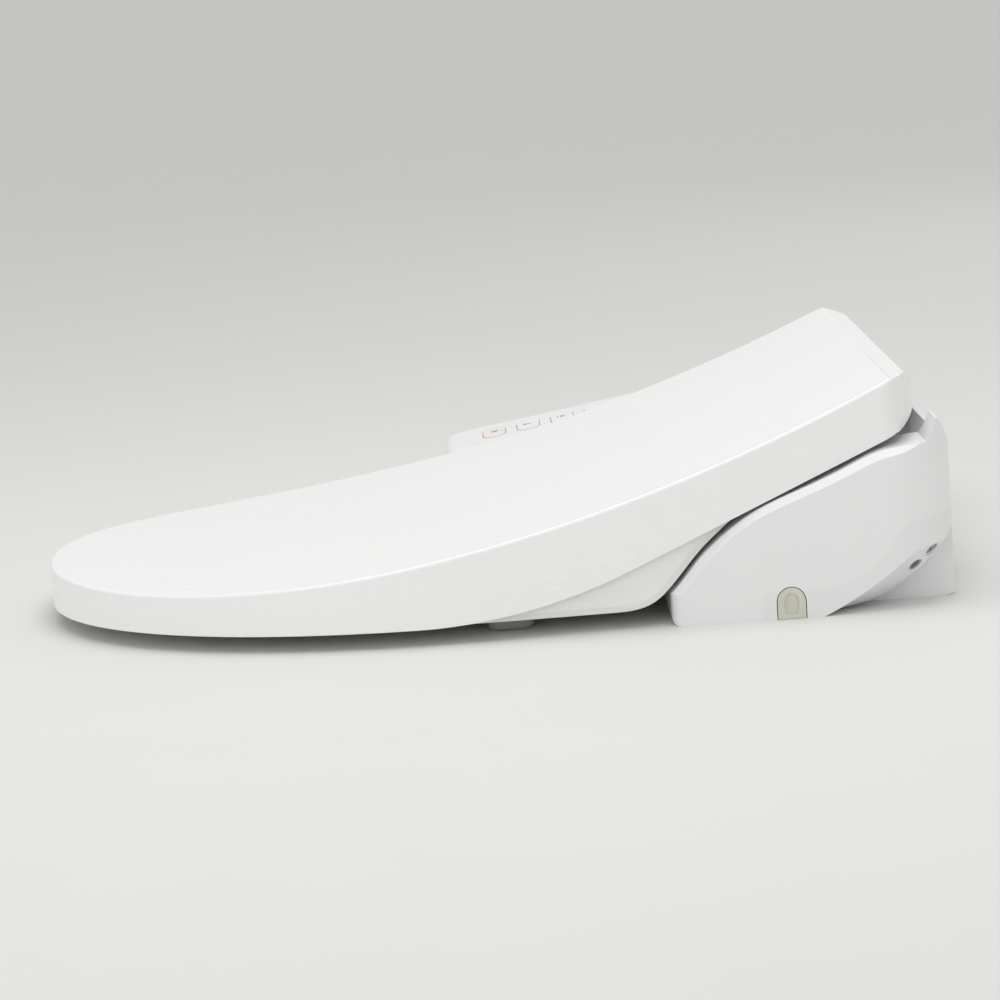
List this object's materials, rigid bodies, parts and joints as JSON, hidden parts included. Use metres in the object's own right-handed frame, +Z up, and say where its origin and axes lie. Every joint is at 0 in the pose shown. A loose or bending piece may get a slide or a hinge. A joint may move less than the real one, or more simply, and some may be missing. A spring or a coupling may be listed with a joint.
{
  "type": "electric bidet seat",
  "caption": "Heated wash seat for a toilet: a lid over a seat ring, a body behind holding nozzles, tank and dryer, and a side arm with keys.",
  "frame": {"origin": "midway between the two fixing bolts, on the plane of the bowl's rim", "axes": "+Z up, the seat's nose points to -Y, the control arm is on -X"},
  "size_m": [0.46, 0.5245, 0.1282],
  "materials": {
    "lid_gloss": "white moulded polypropylene, polished",
    "bumper_rubber": "grey elastomer",
    "seat_gloss": "white moulded polypropylene, polished",
    "seat_under": "white moulded polypropylene",
    "heater_foil": "foil with heating wire",
    "sensor_plastic": "black moulded sensor",
    "cover_gloss": "white moulded ABS, polished",
    "base_satin": "white moulded ABS, satin",
    "damper_body": "dark acetal",
    "shaft_plastic": "natural acetal",
    "button_plastic": "grey-green translucent plastic",
    "spring_steel": "bright spring wire",
    "plate_plastic": "white glass-filled nylon",
    "pad_rubber": "grey elastomer",
    "gland_plastic": "dark nylon",
    "plug_plastic": "dark grey elastomer",
    "arm_gloss": "white moulded ABS, polished",
    "arm_under": "white moulded ABS, satin",
    "key_warm": "coral key cap",
    "key_grey": "pale grey key cap",
    "window_smoke": "smoked acrylic",
    "board_green": "green circuit board",
    "nozzle_plastic": "white acetal",
    "nozzle_tip": "pale grey nozzle tip",
    "gear_plastic": "natural acetal",
    "motor_steel": "zinc-plated steel can",
    "cradle_plastic": "white ABS",
    "tank_plastic": "natural polypropylene",
    "heater_steel": "steel-sheathed element",
    "cutout_phenolic": "brown phenolic",
    "inlet_chrome": "plated brass thread",
    "strainer_mesh": "stainless mesh",
    "valve_plastic": "blue-grey valve body",
    "selector_plastic": "grey acetal",
    "disc_ceramic": "ceramic valve disc",
    "hose_silicone": "clear silicone hose",
    "dryer_plastic": "dark heat-resistant plastic",
    "wheel_plastic": "black nylon impeller",
    "heater_ribbon": "resistance ribbon",
    "flap_gloss": "white moulded ABS",
    "deodoriser_plastic": "white ABS",
    "cartridge_grey": "pale grey cartridge",
    "screw_steel": "stainless screws"
  },
  "bodies": {
    "base": {"top_cover": "cover_gloss", "lower_base": "base_satin", "soft_close_dampers": "damper_body", "hinge_pins": "shaft_plastic", "release_spring": "spring_steel", "base_pads": "pad_rubber", "cord_gland": "gland_plastic", "drain_plug": "plug_plastic", "arm_cover": "arm_gloss", "arm_housing": "arm_under", "indicator_window": "window_smoke", "control_board": "board_green", "nozzle_motors": "motor_steel", "nozzle_cradle": "cradle_plastic", "water_tank": "tank_plastic", "tank_lid": "tank_plastic", "tank_heater": "heater_steel", "thermal_cutout": "cutout_phenolic", "inlet_connector": "inlet_chrome", "inlet_strainer": "strainer_mesh", "inlet_valve": "valve_plastic", "flow_selector": "selector_plastic", "tank_hose": "hose_silicone", "dryer_housing": "dryer_plastic", "dryer_motor": "motor_steel", "dryer_heater": "heater_ribbon", "deodoriser_housing": "deodoriser_plastic", "power_board": "board_green", "case_screws": "screw_steel"},
    "seat": {"seat_upper_shell": "seat_gloss", "seat_lower_shell": "seat_under", "seat_heater_mat": "heater_foil", "seat_sensor": "sensor_plastic", "seat_bumpers": "bumper_rubber", "seat_damper_shaft": "shaft_plastic"},
    "lid": {"lid": "lid_gloss", "lid_bumpers": "bumper_rubber", "lid_damper_shaft": "shaft_plastic"},
    "mounting_plate": {"mounting_plate": "plate_plastic"},
    "release_button": {"release_button": "button_plastic"},
    "rear_nozzle": {"rear_nozzle": "nozzle_plastic", "rear_nozzle_tip": "nozzle_tip"},
    "front_nozzle": {"front_nozzle": "nozzle_plastic", "front_nozzle_tip": "nozzle_tip"},
    "rear_pinion": {"rear_pinion": "gear_plastic"},
    "front_pinion": {"front_pinion": "gear_plastic"},
    "dryer_wheel": {"dryer_wheel": "wheel_plastic"},
    "dryer_flap": {"dryer_flap": "flap_gloss"},
    "deodoriser_fan": {"deodoriser_fan": "wheel_plastic"},
    "carbon_cartridge": {"carbon_cartridge": "cartridge_grey"},
    "selector_disc": {"selector_disc": "disc_ceramic"},
    "key_stop": {"key_stop": "key_warm"},
    "key_rear_wash": {"key_rear_wash": "key_grey"},
    "key_front_wash": {"key_front_wash": "key_grey"},
    "key_dry": {"key_dry": "key_grey"},
    "key_weaker": {"key_weaker": "key_grey"},
    "key_stronger": {"key_stronger": "key_grey"},
    "key_warmth": {"key_warmth": "key_grey"},
    "key_power": {"key_power": "key_grey"}
  },
  "joints": [
    {"name": "seat_hinge", "type": "hinge", "parent": "base", "child": "seat", "pos_m": [0, 0.018, 0.108], "axis": [1, 0, 0], "range_deg": [-95, 0]},
    {"name": "lid_hinge", "type": "hinge", "parent": "seat", "child": "lid", "pos_m": [0, 0.018, 0.108], "axis": [-1, 0, 0], "range_deg": [0, 100]},
    {"name": "plate_slide", "type": "slide", "parent": "base", "child": "mounting_plate", "axis": [0, 1, 0], "range_m": [0, 0.08]},
    {"name": "release_press", "type": "slide", "parent": "base", "child": "release_button", "axis": [-1, 0, 0], "range_m": [0, 0.004], "stiffness_N_per_m": 300, "springref_m": -0.003, "deforming": ["release_spring"]},
    {"name": "rear_nozzle_slide", "type": "slide", "parent": "base", "child": "rear_nozzle", "axis": [0, -0.8829, -0.4695], "range_m": [0, 0.07]},
    {"name": "front_nozzle_slide", "type": "slide", "parent": "base", "child": "front_nozzle", "axis": [0, -0.8829, -0.4695], "range_m": [0, 0.07]},
    {"name": "rear_pinion_spin", "type": "hinge", "parent": "base", "child": "rear_pinion", "pos_m": [-0.012, -0.06884, 0.01636], "axis": [1, 0, 0], "range_deg": [0, 700]},
    {"name": "front_pinion_spin", "type": "hinge", "parent": "base", "child": "front_pinion", "pos_m": [0.012, -0.06884, 0.01636], "axis": [1, 0, 0], "range_deg": [0, 700]},
    {"name": "dryer_wheel_spin", "type": "hinge", "parent": "base", "child": "dryer_wheel", "pos_m": [0.072, -0.018, 0.03], "axis": [0, 0, 1], "continuous": true},
    {"name": "dryer_flap_hinge", "type": "hinge", "parent": "base", "child": "dryer_flap", "pos_m": [0.054, -0.1102, 0.0176], "axis": [-1, 0, 0], "range_deg": [0, 60]},
    {"name": "deodoriser_fan_spin", "type": "hinge", "parent": "base", "child": "deodoriser_fan", "pos_m": [0.118, 0.006, 0.0633], "axis": [0, 1, 0], "continuous": true},
    {"name": "cartridge_slide", "type": "slide", "parent": "base", "child": "carbon_cartridge", "axis": [0, 1, 0], "range_m": [0, 0.035]},
    {"name": "selector_spin", "type": "hinge", "parent": "base", "child": "selector_disc", "pos_m": [0, -0.037, 0.016], "axis": [0, 0, 1], "continuous": true},
    {"name": "key_stop_press", "type": "slide", "parent": "base", "child": "key_stop", "axis": [0, 0.1513, -0.9885], "range_m": [0, 0.001], "stiffness_N_per_m": 800, "springref_m": -0.0006},
    {"name": "key_rear_wash_press", "type": "slide", "parent": "base", "child": "key_rear_wash", "axis": [0, 0.1513, -0.9885], "range_m": [0, 0.001], "stiffness_N_per_m": 800, "springref_m": -0.0006},
    {"name": "key_front_wash_press", "type": "slide", "parent": "base", "child": "key_front_wash", "axis": [0, 0.1513, -0.9885], "range_m": [0, 0.001], "stiffness_N_per_m": 800, "springref_m": -0.0006},
    {"name": "key_dry_press", "type": "slide", "parent": "base", "child": "key_dry", "axis": [0, 0.1513, -0.9885], "range_m": [0, 0.001], "stiffness_N_per_m": 800, "springref_m": -0.0006},
    {"name": "key_weaker_press", "type": "slide", "parent": "base", "child": "key_weaker", "axis": [0, 0.1513, -0.9885], "range_m": [0, 0.001], "stiffness_N_per_m": 800, "springref_m": -0.0006},
    {"name": "key_stronger_press", "type": "slide", "parent": "base", "child": "key_stronger", "axis": [0, 0.1513, -0.9885], "range_m": [0, 0.001], "stiffness_N_per_m": 800, "springref_m": -0.0006},
    {"name": "key_warmth_press", "type": "slide", "parent": "base", "child": "key_warmth", "axis": [0, 0.1513, -0.9885], "range_m": [0, 0.001], "stiffness_N_per_m": 800, "springref_m": -0.0006},
    {"name": "key_power_press", "type": "slide", "parent": "base", "child": "key_power", "axis": [0, 0.1513, -0.9885], "range_m": [0, 0.001], "stiffness_N_per_m": 800, "springref_m": -0.0006}
  ],
  "couplings": [
    {"joint": "rear_pinion_spin", "follows": "rear_nozzle_slide", "rad_per_m": 166.67},
    {"joint": "front_pinion_spin", "follows": "front_nozzle_slide", "rad_per_m": 166.67}
  ]
}
